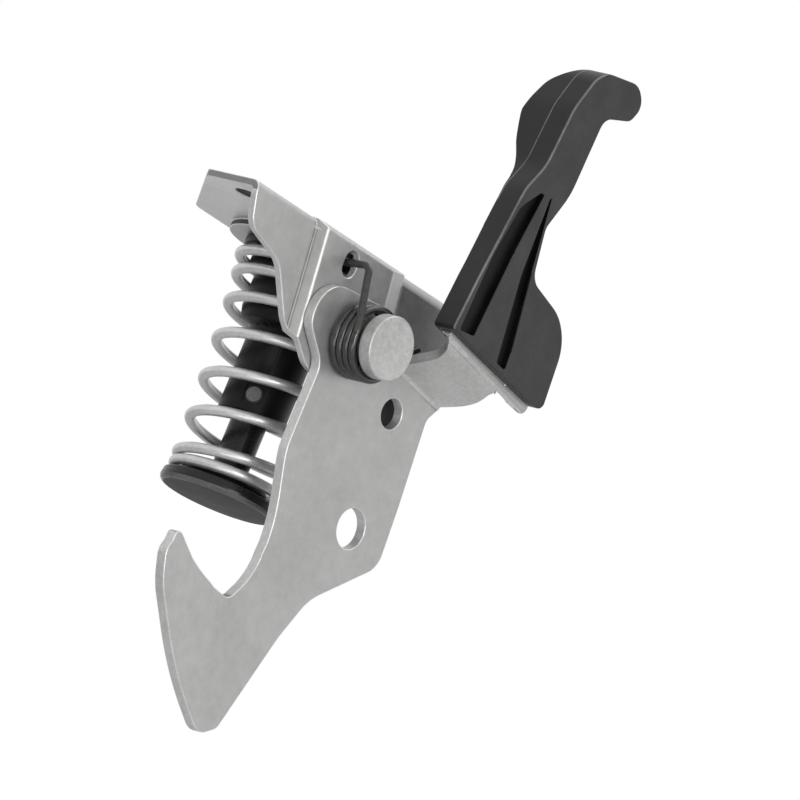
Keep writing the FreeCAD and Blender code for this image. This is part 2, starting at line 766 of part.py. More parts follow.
def makeTorsionSpring():
    """Coil about the pivot; the front end is hooked in the flange, the rear end lies on the arm."""
    wire, radius = sizes["torsionWire"], sizes["torsionRadius"]
    turns, span, steps = sizes["torsionTurns"], coilSpan().value, 12
    rear = leverFront.value + 0.25 + wire
    centre = FreeCAD.Vector(pivotAcross.value, 0, pivotUp.value)
    count = round(turns * steps)
    points = []
    for index in range(count + 1):
        share = index / count
        angle = math.pi + 2 * math.pi * turns * (1 - share)
        points.append(centre + FreeCAD.Vector(radius * math.cos(angle), -rear - span * share, radius * math.sin(angle)))
    coil = wirePath(points)
    first, last = coil.tangentAt(coil.FirstParameter), coil.tangentAt(coil.LastParameter)
    shape = sweepWire(coil, points[0], first, wire)

    rearLeg = springLeg(points[0], -first, [FreeCAD.Vector(-first.x, 0, -first.z) * sizes["torsionRearLeg"]])
    top = FreeCAD.Vector(0, 4.3, sizes["torsionFrontLeg"])
    inside = FreeCAD.Vector(0, 2.5 - sizes["flangeFace"] - points[-1].y, top.z - 1.0)
    frontLeg = springLeg(points[-1], last, [top, inside])
    return coilFeature("return_spring", shape.fuse([rearLeg, frontLeg]).removeSplitter())


pieces = [
    makeBracket(), makeRivet(), makeLever(), makeHandle(), makeSeat(), makeGuide(), makePlunger(),
    makeSpring(), makeTorsionSpring(),
]
document.recompute()

for thing in document.Objects:
    if "Invalid" in thing.State or "Error" in thing.State:
        raise RuntimeError("%s failed: %s" % (thing.Name, thing.State))
for piece in pieces:
    if piece.Shape.isNull() or not piece.Shape.isValid():
        raise RuntimeError("%s has no valid shape" % piece.Label)
for piece in pieces:
    piece.Shape.exportStep("parts/%s.step" % piece.Label)
    print(piece.Label, "solids", len(piece.Shape.Solids), "volume", round(piece.Shape.Volume, 1))
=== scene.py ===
import json
import math
import bmesh
import bpy
from mathutils import Matrix, Vector
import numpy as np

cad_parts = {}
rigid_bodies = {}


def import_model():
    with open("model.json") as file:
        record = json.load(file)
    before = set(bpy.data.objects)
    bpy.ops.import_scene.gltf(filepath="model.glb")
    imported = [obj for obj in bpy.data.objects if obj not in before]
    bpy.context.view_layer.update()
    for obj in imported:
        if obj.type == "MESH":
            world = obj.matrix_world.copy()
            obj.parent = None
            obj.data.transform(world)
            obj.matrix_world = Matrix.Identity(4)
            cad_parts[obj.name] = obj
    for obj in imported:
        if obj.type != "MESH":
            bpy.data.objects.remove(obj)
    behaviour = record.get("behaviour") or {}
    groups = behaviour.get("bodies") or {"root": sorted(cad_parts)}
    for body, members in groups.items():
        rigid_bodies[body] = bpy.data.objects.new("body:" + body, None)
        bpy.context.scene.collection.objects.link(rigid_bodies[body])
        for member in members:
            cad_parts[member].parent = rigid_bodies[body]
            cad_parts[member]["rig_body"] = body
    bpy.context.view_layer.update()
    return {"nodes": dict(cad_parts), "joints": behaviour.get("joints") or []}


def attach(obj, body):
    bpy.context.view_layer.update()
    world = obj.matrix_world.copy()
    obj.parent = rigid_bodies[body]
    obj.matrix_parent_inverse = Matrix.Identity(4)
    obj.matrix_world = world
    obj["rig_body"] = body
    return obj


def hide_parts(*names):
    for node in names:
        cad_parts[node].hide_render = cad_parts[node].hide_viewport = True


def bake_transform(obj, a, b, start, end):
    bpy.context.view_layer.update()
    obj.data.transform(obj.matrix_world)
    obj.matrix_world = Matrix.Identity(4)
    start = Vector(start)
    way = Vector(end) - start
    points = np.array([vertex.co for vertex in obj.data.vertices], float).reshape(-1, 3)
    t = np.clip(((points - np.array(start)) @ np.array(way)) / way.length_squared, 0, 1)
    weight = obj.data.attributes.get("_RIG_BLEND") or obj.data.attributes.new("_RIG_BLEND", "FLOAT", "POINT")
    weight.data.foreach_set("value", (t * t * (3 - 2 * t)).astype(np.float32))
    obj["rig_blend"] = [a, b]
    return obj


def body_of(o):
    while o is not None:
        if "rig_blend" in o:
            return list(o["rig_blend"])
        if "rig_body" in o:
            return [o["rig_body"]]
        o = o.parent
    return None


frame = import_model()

nodes = frame["nodes"]
mm = 0.001
turn = 2 * math.pi
hinge = next(joint for joint in frame["joints"] if joint["name"] == "hook_swing")["pos_m"]
pivot = Vector(hinge)
pivotX, pivotZ = hinge[0] / mm, hinge[2] / mm


# camera: long lens from the lower left, rolled as the photo is
view = {
    "azimuth": -48.0, "elevation": -10.0, "roll": 22.3, "distance": 5.0,
    "lens": 900.0, "film": 36.0, "clip": (0.5, 40.0), "target": (0.0100, -0.0212, -0.0307),
}


def makeCamera():
    azimuth, elevation, roll = (
        math.radians(view[key]) for key in ("azimuth", "elevation", "roll"))
    back = Vector((math.sin(azimuth) * math.cos(elevation),
                   -math.cos(azimuth) * math.cos(elevation), math.sin(elevation)))
    level = Vector((math.cos(azimuth), math.sin(azimuth), 0))
    above = back.cross(level)
    right = level * math.cos(roll) + above * math.sin(roll)
    up = back.cross(right)
    data = bpy.data.cameras.new("photoCamera")
    data.lens, data.sensor_width = view["lens"], view["film"]
    data.clip_start, data.clip_end = view["clip"]
    camera = bpy.data.objects.new("photoCamera", data)
    bpy.context.scene.collection.objects.link(camera)
    place = Vector(view["target"]) + back * view["distance"]
    camera.matrix_world = Matrix((
        (right.x, up.x, back.x, place.x), (right.y, up.y, back.y, place.y),
        (right.z, up.z, back.z, place.z), (0, 0, 0, 1)))
    bpy.context.scene.camera = camera


makeCamera()
bpy.context.scene.view_settings.view_transform = "Standard"
print("camera set")


# a node socket that Python's own signs work on
class Value:
    def __init__(self, graph, socket):
        self.graph, self.socket = graph, socket

    def maths(self, operation, other=0.0):
        return self.graph.maths(operation, self, other)

    def __add__(self, other):
        return self.graph.maths("ADD", self, other)

    def __radd__(self, other):
        return self.graph.maths("ADD", other, self)

    def __sub__(self, other):
        return self.graph.maths("SUBTRACT", self, other)

    def __rsub__(self, other):
        return self.graph.maths("SUBTRACT", other, self)

    def __mul__(self, other):
        return self.graph.maths("MULTIPLY", self, other)

    def __rmul__(self, other):
        return self.graph.maths("MULTIPLY", other, self)

    def __truediv__(self, other):
        return self.graph.maths("DIVIDE", self, other)

    def __rtruediv__(self, other):
        return self.graph.maths("DIVIDE", other, self)

    def __pow__(self, other):
        return self.graph.maths("POWER", self, other)

    def __lt__(self, other):
        return self.graph.maths("LESS_THAN", self, other)


# a tree of nodes, for a material, the world or Geometry Nodes
class Graph:
    def node(self, kind, settings=None, sockets=None, out=0):
        made = self.tree.nodes.new(kind)
        for name, value in (settings or {}).items():
            if name == "stops":
                self.setStops(made.color_ramp, value)
            else:
                setattr(made, name, value)
        for name, value in (sockets or {}).items():
            if isinstance(value, Value):
                self.tree.links.new(value.socket, made.inputs[name])
            else:
                made.inputs[name].default_value = value
        return Value(self, made.outputs[out]) if len(made.outputs) else None

    def setStops(self, ramp, stops):
        while len(ramp.elements) < len(stops):
            ramp.elements.new(1.0)
        for element, (position, level) in zip(ramp.elements, stops):
            element.position = position
            element.color = (level, level, level, 1.0)

    def maths(self, operation, first, second):
        return self.node("ShaderNodeMath", {"operation": operation}, {0: first, 1: second})


class Paint(Graph):
    def __init__(self, name):
        self.material = bpy.data.materials.new(name)
        self.material.use_nodes = True
        self.tree = self.material.node_tree
        self.tree.nodes.clear()
        self.place = self.node("ShaderNodeTexCoord", out="Object")

    # grain of the given size in millimetres, 0 to 1
    def noise(self, size, detail, rough):
        return self.node("ShaderNodeTexNoise", {}, {
            "Vector": self.place, "Scale": 1.0 / (size * mm), "Detail": detail,
            "Roughness": rough}, out="Fac")

    def ramp(self, value, *stops):
        return self.node("ShaderNodeValToRGB", {"stops": stops}, {"Fac": value})

    def blend(self, share, first, second):
        return self.node("ShaderNodeMix", {"data_type": "RGBA"},
                         {"Factor": share, 6: first, 7: second}, out=2)

    def bump(self, height, look):
        return self.node("ShaderNodeBump", {}, {
            "Height": height, "Strength": look["bump"], "Distance": look["relief"] * mm})

    def shader(self, **sockets):
        return self.node("ShaderNodeBsdfPrincipled", {},
                         {key.replace("_", " "): value for key, value in sockets.items()})

    def finish(self, **sockets):
        self.node("ShaderNodeOutputMaterial", {}, {"Surface": self.shader(**sockets)})
        return self.material


def grey(level, warm=0.0):
    # a display grey, 0 to 255, as a linear colour
    linear = [((level + shift) / 255.0) ** 2.2 for shift in (warm, 0, -warm)]
    return (*linear, 1.0)


# zinc plated sheet: soft clouds, fine specks and a few rubbed spots, their sizes in millimetres
steelLook = {
    "light": 180, "dark": 162, "warm": 0.5, "metal": 0.7, "rough": 0.44,
    "cloud": 22.0, "mottle": 3.2, "grain": 0.28, "bump": 0.3, "relief": 0.035,
}


def makeSteel(name, **changes):
    look, paint = {**steelLook, **changes}, Paint(name)
    cloud = paint.noise(look["cloud"], 3.0, 0.6)
    mottle = paint.noise(look["mottle"], 4.0, 0.65)
    speck = paint.noise(look["grain"], 2.0, 0.6)
    share = paint.ramp(cloud * 0.35 + mottle * 0.4 + speck * 0.25, (0.38, 0.0), (0.62, 1.0))
    colour = paint.blend(share, grey(look["dark"], look["warm"]), grey(look["light"], look["warm"]))
    rough = look["rough"] + (speck - 0.5) * 0.18 + (mottle - 0.5) * 0.16
    height = speck * 0.6 + mottle * 0.4
    return paint.finish(Base_Color=colour, Metallic=look["metal"], Roughness=rough,
                        Normal=paint.bump(height, look))


# black moulding: fine grain with faint clouds
plasticLook = {
    "light": 60, "dark": 45, "rough": 0.42, "shine": 0.3,
    "cloud": 9.0, "grain": 0.4, "bump": 0.3, "relief": 0.03,
}


def makePlastic(name, **changes):
    look, paint = {**plasticLook, **changes}, Paint(name)
    cloud = paint.noise(look["cloud"], 3.0, 0.55)
    grain = paint.noise(look["grain"], 2.0, 0.6)
    share = paint.ramp(cloud * 0.6 + grain * 0.4, (0.35, 0.0), (0.65, 1.0))
    colour = paint.blend(share, grey(look["dark"]), grey(look["light"]))
    rough = look["rough"] + (grain - 0.5) * 0.18 + (cloud - 0.5) * 0.12
    return paint.finish(Base_Color=colour, Roughness=rough, Specular_IOR_Level=look["shine"],
                        Normal=paint.bump(grain, look))


# the nub in the guide's window gets a painted highlight, a lighter spot
nub = {"place": (-0.00715, 0.00959, -0.0421), "radius": 2.3 * mm, "light": 120}


def makeGuideBlack(name, **changes):
    look, paint = {**plasticLook, **changes}, Paint(name)
    grain = paint.noise(look["grain"], 2.0, 0.6)
    far = paint.node("ShaderNodeVectorMath", {"operation": "DISTANCE"},
                     {0: paint.place, 1: nub["place"]}, out="Value")
    nubHighlight = paint.ramp(far * (0.5 / nub["radius"]), (0.38, 1.0), (0.52, 0.0))
    base = paint.blend(grain, grey(look["dark"]), grey(look["light"]))
    colour = paint.blend(nubHighlight * (0.5 + grain * 0.6), base, grey(nub["light"]))
    rough = look["rough"] + (grain - 0.5) * 0.18
    return paint.finish(Base_Color=colour, Roughness=rough, Specular_IOR_Level=look["shine"],
                        Normal=paint.bump(grain, look))


finishes = {
    "sheet": makeSteel("zincSheet"),
    # the sheet's cut edges and the pad's crest: a lighter copy of the sheet, a painted highlight where they
    # catch the light
    "litEdge": makeSteel("zincLitEdge", light=208, dark=178, mottle=1.2),
    # a lighter copy of the sheet: painted light on softened edges and on the plate's underside
    "paintedLight": makeSteel("zincPaintedLight", light=218, dark=186, mottle=1.0, rough=0.38),
    # a darker copy of the sheet, painted shade
    "shaded": makeSteel("zincShaded", light=134, dark=112),
    # a dark copy of the sheet: painted shade on the boss and hole walls and on the ear's front
    "deep": makeSteel("zincPaintedShade", light=82, dark=60),
    "rivet": makeSteel("zincRivet", light=196, dark=162, mottle=1.3, rough=0.42),
    "liftWire": makeSteel("zincWire", light=214, dark=188, mottle=1.6, rough=0.34,
                          grain=0.6, relief=0.004),
    "returnWire": makeSteel("oiledWire", light=80, dark=62, mottle=2.0, rough=0.2,
                            grain=0.6, relief=0.004),
    "handle": makePlastic("handleBlack"),
    # a darker copy of the handle's plastic, painted shade on its side faces
    "handleSideShade": makePlastic("handleSideShadeBlack", light=40, dark=28),
    # a darker copy of the handle's plastic, painted shade in its recesses
    "handleRecessShade": makePlastic("handleRecessShadeBlack", light=26, dark=16, shine=0.15),
    # a lighter copy of the handle's plastic, a painted highlight along the ridge and the paddle's line
    "handleHighlight": makePlastic("handlePaintedHighlight", light=128, dark=82, rough=0.36),
    "guide": makeGuideBlack("guideBlack", light=26, dark=16, shine=0.2),
    "plunger": makePlastic("plungerGrey", light=38, dark=27, rough=0.26),
    # a darker copy of the plunger's plastic, painted shade on the foot's underside
    "plungerFootShade": makePlastic("plungerFootShade", light=24, dark=15, shine=0.1),
    # a lighter copy of the plunger's plastic, a painted highlight on the foot's rim
    "plungerRimHighlight": makePlastic("plungerPaintedHighlight", light=104, dark=76, rough=0.3),
}
print("finishes made")


# in millimetres and degrees: points nearer than "merge" become one, faces that turn by less than
# "flat" become one and by less than "smooth" look round, and turns above "sharp" are softened
mend = {"merge": 0.02, "flat": 0.6, "smooth": 20, "sharp": 28, "bevelSteps": 2}

# a face is square to an axis, faces it or lies along it by its normal's share on that axis
square, facing, along = 0.99, 0.9, 0.1
near = 0.1  # places this close, in millimetres, count as the same


def mergedNode(name):
    # the CAD node's own shape, with its loose triangles merged
    mesh = bmesh.new()
    mesh.from_mesh(nodes[name].data)
    bmesh.ops.remove_doubles(mesh, verts=mesh.verts, dist=mend["merge"] * mm)
    bmesh.ops.dissolve_degenerate(mesh, edges=mesh.edges, dist=mend["merge"] * mm)
    return mesh


def flatten(mesh):
    # flat faces made whole again
    bmesh.ops.dissolve_limit(mesh, angle_limit=math.radians(mend["flat"]), verts=mesh.verts,
                             edges=mesh.edges)
    mesh.normal_update()


def keepInside(mesh, name):
    # no moved corner leaves the CAD piece's own box
    points = [vert.co for vert in nodes[name].data.vertices]
    for axis in range(3):
        low, high = min(point[axis] for point in points), max(point[axis] for point in points)
        for vert in mesh.verts:
            vert.co[axis] = min(max(vert.co[axis], low), high)


def cutAcross(mesh, place, way):
    # new edges where a flat cut at a place, in millimetres, would pass
    bmesh.ops.bisect_plane(mesh, geom=mesh.verts[:] + mesh.edges[:] + mesh.faces[:], dist=1e-7,
                           plane_co=[value * mm for value in place], plane_no=way)


def fromTable(rows, place):
    # a table's values at one place, straight between its rows and nothing outside them
    for (low, *first), (high, *second) in zip(rows, rows[1:]):
        if low <= place <= high:
            share = (place - low) / (high - low)
            return [start + (end - start) * share for start, end in zip(first, second)]
    return [0.0] * (len(rows[0]) - 1)


def paintFace(face, piece, look):
    face.material_index = piece["looks"].index(look)


def dress(name, mesh, looks, bevel=0.0, thick=0.0):
    # a finished piece: smooth curved walls, and edges softened in the last of its looks, which on the metal
    # pieces is painted light
    keepInside(mesh, name)
    data = bpy.data.meshes.new(name + "_dressed")
    mesh.to_mesh(data)
    mesh.free()
    piece = bpy.data.objects.new(name + "_dressed", data)
    bpy.context.scene.collection.objects.link(piece)
    for look in looks:
        data.materials.append(finishes[look])
    data.shade_smooth()
    data.set_sharp_from_angle(angle=math.radians(mend["smooth"]))
    if thick:
        sheet = piece.modifiers.new("sheet", "SOLIDIFY")
        sheet.thickness, sheet.offset = thick * mm, -1.0
        sheet.use_even_offset, sheet.use_quality_normals = True, True
        sheet.material_offset_rim = 1
    if bevel:
        edges = piece.modifiers.new("edges", "BEVEL")
        edges.width, edges.segments = bevel * mm, mend["bevelSteps"]
        edges.limit_method, edges.angle_limit = "ANGLE", math.radians(mend["sharp"])
        edges.use_clamp_overlap = False
        edges.material = len(looks) - 1
    smooth = piece.modifiers.new("normals", "WEIGHTED_NORMAL")
    smooth.keep_sharp = True
    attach(piece, body_of(nodes[name])[0])
    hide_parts(name)


bracket = {
    "looks": ("sheet", "litEdge", "shaded", "deep", "paintedLight"), "bevel": 0.25,
    # the plate's underside and the flange's back, and how far past them their edges are looked for
    "plate": -2.0, "below": 0.4, "flange": -8.0, "behind": 1.0,
    # the raised pad's folds: how steep its slopes are, and each fold's depth and finish, a painted highlight
    # on the crest and painted shade in the hollow
    "fold": 0.55, "foldSteps": 4, "slopes": (0.2, 0.97),
    "folds": ((-13.0, "litEdge"), (-10.0, "shaded"), (-11.0, "sheet")),
    # the flange's front gets painted shade past one place across, and the turned end before the other
    "shadedFrom": 20, "endTo": -50,
    # the spring boss and the mounting hole, whose walls get painted shade
    "boss": 23.2, "bossY": 14.0, "bossWall": 0.2, "hole": -46.0, "holeReach": (5, 5.5),
    "ear": ((14, -11), (33, -11), (29, -32), (25, -36), (15, -36)), "earDepths": (-9.95, -8.05),
}


def foldEdges(mesh, depth):
    # fold lines of the raised pad at one depth of the flange
    folds, (slight, steep) = [], bracket["slopes"]
    for edge in mesh.edges:
        tilts = [abs(face.normal.y) for face in edge.link_faces]
        middle = (edge.verts[0].co.y + edge.verts[1].co.y) / 2 / mm
        bent = len(tilts) == 2 and max(tilts) > square and slight < min(tilts) < steep
        if bent and abs(middle - depth) < near:
            folds.append(edge)
    return folds


def bracketLook(face):
    # the finish of one face, or nothing where it keeps the one that it has
    middle, way = face.calc_center_median() / mm, face.normal
    plate, flange = bracket["plate"], bracket["flange"]
    # the flange's edges below the plate get the painted highlight of a lit edge
    if abs(way.y) < along and middle.z < plate - bracket["below"] and middle.y < flange:
        return "litEdge"
    if way.y < -square and middle.x > bracket["shadedFrom"] and middle.y < flange:
        return "shaded"
    if abs(way.z) < along and way.x < -facing and middle.x < bracket["endTo"]:
        return "shaded"
    # the plate's underside is painted lighter, as painted light
    if way.z < -square and abs(middle.z - plate) < near:
        return "paintedLight"
    if abs(way.z) < along and middle.y > flange + bracket["behind"]:
        reachX, reachY = bracket["holeReach"]
        inHole = abs(middle.x - bracket["hole"]) < reachX and abs(middle.y) < reachY
        reach = math.hypot(middle.x, middle.y - bracket["bossY"])
        return "deep" if inHole or abs(reach - bracket["boss"]) < bracket["bossWall"] else "sheet"
    return None


def addEar(mesh):
    # the flange's lower ear, seen through the lever's small hole, its front in painted shade
    front, back = ([mesh.verts.new((x * mm, depth * mm, z * mm)) for x, z in bracket["ear"]]
                   for depth in bracket["earDepths"])
    count = len(front)
    mesh.faces.new(front[::-1])
    mesh.faces.new(back)
    for index in range(count):
        after = (index + 1) % count
        mesh.faces.new((front[index], front[after], back[after], back[index]))
    made = [face for face in mesh.faces if face.verts[0] in front or face.verts[0] in back]
    bmesh.ops.recalc_face_normals(mesh, faces=made)
    for face in made:
        paintFace(face, bracket, "deep" if face.normal.y < -facing else "sheet")


def dressBracket():
    mesh = mergedNode("mounting_bracket")
    flatten(mesh)
    for depth, look in bracket["folds"]:
        bmesh.ops.bevel(mesh, geom=foldEdges(mesh, depth), offset=bracket["fold"] * mm,
                        segments=bracket["foldSteps"], profile=0.5, affect="EDGES",
                        clamp_overlap=False, material=bracket["looks"].index(look))
        mesh.normal_update()
    for face in mesh.faces:
        look = bracketLook(face)
        if look:
            paintFace(face, bracket, look)
    addEar(mesh)
    dress("mounting_bracket", mesh, bracket["looks"], bracket["bevel"])


# the rims of the sheet's skin take the look after their own face's, so the lit edge, a painted highlight, is
# there twice
lever = {
    "looks": ("sheet", "litEdge", "litEdge", "paintedLight"), "bevel": 0.3, "thick": 3.0,
    # how far the front skin's faces face the front, and which of them are the sheet's flat ones
    "skin": -0.2, "front": -0.95,
    # how far the hook's inner edge lies from the CAD edge, at distances across from the pivot
    "lip": ((-31.2, -2.2, -1.5), (-28.6, -2.2, -1.5), (-23.8, -0.6, -2.5), (-19.0, -0.6, -1.9),
            (-14.2, -0.8, -1.2), (-11.6, -1.0, -1.1), (-6.6, -2.0, -0.1), (-5.2, -2.0, -0.1),
            (-3.0, -1.2, 0.0), (0.0, 0.0, 0.0)),
    "lipHeights": (-74.5, -58),
    # the sloping web, its lower edge and the tab in front of it
    "webFront": -30.6, "webRear": -16.9, "edge": 38.5, "bulge": 2.5, "cuts": 7,
    "tab": -1.05, "tabDepth": -32, "tabTop": 6.5, "tabEase": 3,
    # corners beside the fold: where they are and where they go
    "corners": (((38.74, -6.05), (38.45, -4.7)), ((37.58, -5.89), (37.9, -5.5))),
}


def shapeLip(mesh):
    (low, top), (start, end) = lever["lipHeights"], (lever["lip"][0][0], lever["lip"][-1][0])
    for vert in mesh.verts:
        across, high = vert.co.x / mm - pivotX, vert.co.z / mm - pivotZ
        if low <= high <= top and start <= across <= end:
            moveX, moveZ = fromTable(lever["lip"], across)
            vert.co.x += moveX * mm
            vert.co.z += moveZ * mm


def shapeWeb(mesh):
    # the sloping web bulges at its lower edge, and the tab hangs a little below the handle
    rear, span = lever["webRear"], lever["webFront"] - lever["webRear"]
    for cut in range(lever["cuts"]):
        cutAcross(mesh, (0, rear + span * (cut + 0.5) / lever["cuts"], 0), (0, 1, 0))
    for vert in mesh.verts:
        across, depth, high = vert.co.x / mm - pivotX, vert.co.y / mm, vert.co.z / mm - pivotZ
        share, past = (depth - rear) / span, across - lever["edge"]
        if past > 0 and 0 < share < 1:
            vert.co.x += lever["bulge"] * math.sin(math.pi * share) * mm
        elif past > 0 and depth < lever["tabDepth"] and high < lever["tabTop"]:
            vert.co.z += lever["tab"] * min(past / lever["tabEase"], 1) * mm
        else:
            for (fromX, fromZ), (toX, toZ) in lever["corners"]:
                if abs(across - fromX) < near and abs(high - fromZ) < near:
                    vert.co.x, vert.co.z = (toX + pivotX) * mm, (toZ + pivotZ) * mm


def dressLever():
    # the sheet's front skin, given its thickness square to itself, so that cuts stay square
    # on the slope
    mesh = mergedNode("hook_lever")
    mesh.normal_update()
    behind = [face for face in mesh.faces if face.normal.y > lever["skin"]]
    bmesh.ops.delete(mesh, geom=behind, context="FACES")
    flatten(mesh)
    for face in mesh.faces:
        # faces of the skin that turn away from the front get the painted highlight of a lit edge
        paintFace(face, lever, "litEdge" if face.normal.y > lever["front"] else "sheet")
    shapeLip(mesh)
    shapeWeb(mesh)
    dress("hook_lever", mesh, lever["looks"], lever["bevel"], lever["thick"])


handle = {
    "looks": ("handle", "handleSideShade", "handleRecessShade", "handleHighlight"), "bevel": 0.4, "bevelSteps": 3,
    # depths of the front, of what is sunk into it, of the side behind that, and of the back
    "front": -35.7, "recess": (-35.3, -34.05), "side": -34, "back": -28.8,
    # how far a side face, and the two faces at a ridge with a painted highlight, face their own way
    "sideways": -0.3, "ridge": (-0.95, -0.4),
    # a thin painted highlight line where the paddle meets the side, between two depths
    "line": (-29.1, -28.75), "lineFrom": 47,
    # depth of the thumb paddle behind the handle at heights above the pivot
    "paddle": ((38, 0.05), (50, 0.15), (54, 0.5), (57, 1.6), (60, 3.4), (65, 6.4), (69, 7.9),
               (72, 8.9), (74, 9.3), (96, 12.0)),
    "slice": 1.0, "slack": 0.02,
}


def inRecess(face):
    # walls and floors sunk into the front
    deep, shallow = handle["recess"]
    return deep < face.calc_center_median().y / mm < shallow


def isRidge(edge):
    # the outer edge between the front and the side
    ways, (front, side) = [face.normal for face in edge.link_faces], handle["ridge"]
    outer = min(way.y for way in ways) < front and min(way.x for way in ways) < side
    return outer and not any(inRecess(face) for face in edge.link_faces)


def isPlain(edge):
    # an edge of the front, or of the back below the paddle
    depths = [vert.co.y / mm for vert in edge.verts]
    if max(depths) < handle["front"]:
        return True
    heights = [vert.co.z / mm - pivotZ for vert in edge.verts]
    fromBack = sum(abs(depth - handle["back"]) for depth in depths)
    return fromBack < near and max(heights) < handle["paddle"][0][0]


def softenHandle(mesh):
    # the ridges with a painted highlight first, then the other edges in the finish beside them
    paintedLight = handle["looks"].index("handleHighlight")
    for ridge in (True, False):
        sharp = [edge for edge in mesh.edges if len(edge.link_faces) == 2 and edge.is_convex
                 and edge.calc_face_angle() > math.radians(mend["sharp"])
                 and isRidge(edge) == ridge and isPlain(edge)]
        bmesh.ops.bevel(mesh, geom=sharp, offset=handle["bevel"] * mm,
                        segments=handle["bevelSteps"], profile=0.5, affect="EDGES",
                        clamp_overlap=False, material=paintedLight if ridge else -1)
        mesh.normal_update()


def shapePaddle(mesh):
    # thin slices, so that the paddle's back can follow its curve
    low, high, step = handle["paddle"][0][0], handle["paddle"][-2][0], handle["slice"]
    for cut in range(int((high - low) / step) + 1):
        cutAcross(mesh, (0, 0, low + (cut + 0.5) * step + pivotZ), (0, 0, 1))
    for vert in mesh.verts:
        height = vert.co.z / mm - pivotZ
        if vert.co.y / mm > handle["back"] + handle["slack"] and height > low:
            depth, = fromTable(handle["paddle"], height)
            vert.co.y = min(vert.co.y, (handle["back"] + depth) * mm)


def dressHandle():
    mesh = mergedNode("release_handle")
    flatten(mesh)
    for face in mesh.faces:
        # faces sunk into the front get painted shade
        if inRecess(face):
            paintFace(face, handle, "handleRecessShade")
        # side faces get painted shade, darker than the front
        elif face.normal.x < handle["sideways"]:
            if face.calc_center_median().y / mm > handle["side"]:
                paintFace(face, handle, "handleSideShade")
    softenHandle(mesh)
    shapePaddle(mesh)
    behind, before = handle["line"]
    for depth in handle["line"]:
        cutAcross(mesh, (0, depth, 0), (0, 1, 0))
    mesh.normal_update()
    for face in mesh.faces:
        middle = face.calc_center_median() / mm
        onLine = behind < middle.y < before and middle.z - pivotZ > handle["lineFrom"]
        if onLine and face.normal.x < handle["sideways"]:
            paintFace(face, handle, "handleHighlight")
    dress("release_handle", mesh, handle["looks"])


# the rivet's softened edges get the same painted light as the sheet's edges
rivet = {"slot": "plated_rivet", "looks": ("rivet", "paintedLight"), "bevel": 0.3}
seat = {"slot": "guide_plastic", "looks": ("guide",), "bevel": 0}
guide = {"slot": "guide_plastic", "looks": ("guide",), "bevel": 0}
# the underside of the plunger's foot gets painted shade, inside a rim with a painted highlight
plunger = {
    "slot": "plunger_plastic", "looks": ("plunger", "plungerRimHighlight", "plungerFootShade"), "bevel": 0,
    "foot": -68.0 * mm, "under": -0.3, "level": -0.97,
}


def dressTurned(name, piece):
    mesh = mergedNode(name)
    flatten(mesh)
    foot = [face for face in mesh.faces if face.calc_center_median().z < piece.get("foot", -1)]
    for face in foot:
        if face.normal.z < piece["under"]:
            level = face.normal.z < piece["level"]
            paintFace(face, piece, "plungerFootShade" if level else "plungerRimHighlight")
    dress(name, mesh, piece["looks"], piece["bevel"])


dressBracket()
dressLever()
dressHandle()
dressTurned("pivot_rivet", rivet)
dressTurned("spring_seat", seat)
dressTurned("plunger_guide", guide)
dressTurned("plunger", plunger)
print("pieces dressed")


wireSides = 20  # of every spring's round section


# a Geometry Nodes tree whose named inputs are set from a dictionary
class Rule(Graph):
    def __init__(self, name, inputs):
        self.tree = bpy.data.node_groups.new(name, "GeometryNodeTree")
        face = self.tree.interface
        face.new_socket("Geometry", in_out="OUTPUT", socket_type="NodeSocketGeometry")
        face.new_socket("Geometry", in_out="INPUT", socket_type="NodeSocketGeometry")
        self.keys = {}
        for key, kind in inputs.items():
            socket = face.new_socket(key, in_out="INPUT", socket_type="NodeSocket" + kind)
            self.keys[key] = socket.identifier
        self.entry = self.tree.nodes.new("NodeGroupInput")

    def given(self, key):
        return Value(self, self.entry.outputs[key])

    # round wire along a curve, closed at its ends
    def wire(self, curve, radius):
        ring = self.node("GeometryNodeCurvePrimitiveCircle", {},
                         {"Resolution": wireSides, "Radius": radius})
        tube = self.node("GeometryNodeCurveToMesh", {},
                         {"Curve": curve, "Profile Curve": ring, "Fill Caps": True})
        smooth = self.node("GeometryNodeSetShadeSmooth", {}, {"Geometry": tube})
        real = self.node("GeometryNodeRealizeInstances", {}, {"Geometry": smooth})
        painted = self.node("GeometryNodeSetMaterial", {},
                            {"Geometry": real, "Material": self.given("finish")})
        self.node("NodeGroupOutput", {}, {0: painted})

    # runs the tree on a mesh and returns an object that holds only the result
    def run(self, name, values, start=None):
        piece = bpy.data.objects.new(name, start or bpy.data.meshes.new(name))
        bpy.context.scene.collection.objects.link(piece)
        modifier = piece.modifiers.new("rule", "NODES")
        modifier.node_group = self.tree
        for key, identifier in self.keys.items():
            modifier[identifier] = values[key]
        seen = bpy.context.evaluated_depsgraph_get()
        result = bpy.data.meshes.new_from_object(piece.evaluated_get(seen), depsgraph=seen)
        piece.modifiers.clear()
        piece.data = result
        return piece


# turns from either end over which a coil opens, and how its radius tapers
coilEnds = {"opening": (-0.5, 3.5), "closing": (1.08, 1.55), "taper": 1.6}


